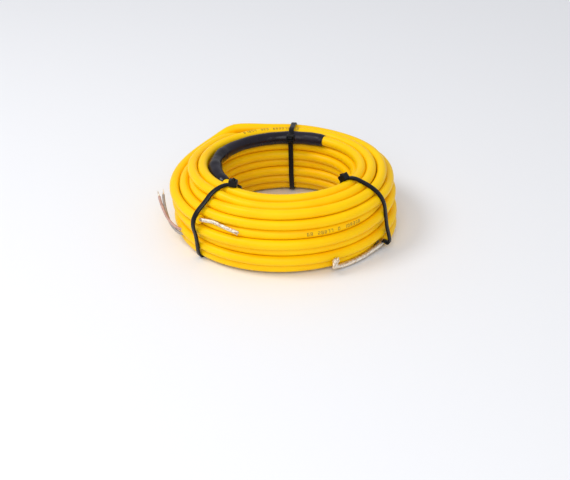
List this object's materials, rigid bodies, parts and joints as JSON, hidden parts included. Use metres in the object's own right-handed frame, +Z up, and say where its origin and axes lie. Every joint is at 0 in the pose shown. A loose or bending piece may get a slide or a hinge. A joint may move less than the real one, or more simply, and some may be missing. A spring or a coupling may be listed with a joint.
{
  "type": "twin-core heating cable",
  "caption": "Tied oval coil of yellow twin-core heating cable with a black joint sleeve on its top inner edge and stripped ends, lying flat.",
  "frame": {"origin": "under the middle of the whole part, on the surface that the coil lies on", "axes": "+Z up along the coil's axis, -Y towards the viewer in the picture, +X to the picture's right"},
  "size_m": [0.1434, 0.1268, 0.049],
  "materials": {
    "yellow_pvc_sheath": "extruded yellow PVC sheath with a soft satin gloss",
    "black_heat_shrink": "black polyolefin heat-shrink, smooth and slightly lumpy",
    "black_nylon": "moulded black nylon, satin",
    "core_insulation": "thin core insulation, greyish pink, satin",
    "tinned_copper": "bare tinned copper strands, dull and slightly warm"
  },
  "bodies": {
    "root": {"cable_coil": "yellow_pvc_sheath", "joint_sleeve": "black_heat_shrink", "tie_back": "black_nylon", "tie_left": "black_nylon", "tie_right": "black_nylon", "core_wire_1": "core_insulation", "core_wire_2": "core_insulation", "bare_strand": "tinned_copper", "earth_braid": "tinned_copper"}
  },
  "joints": []
}
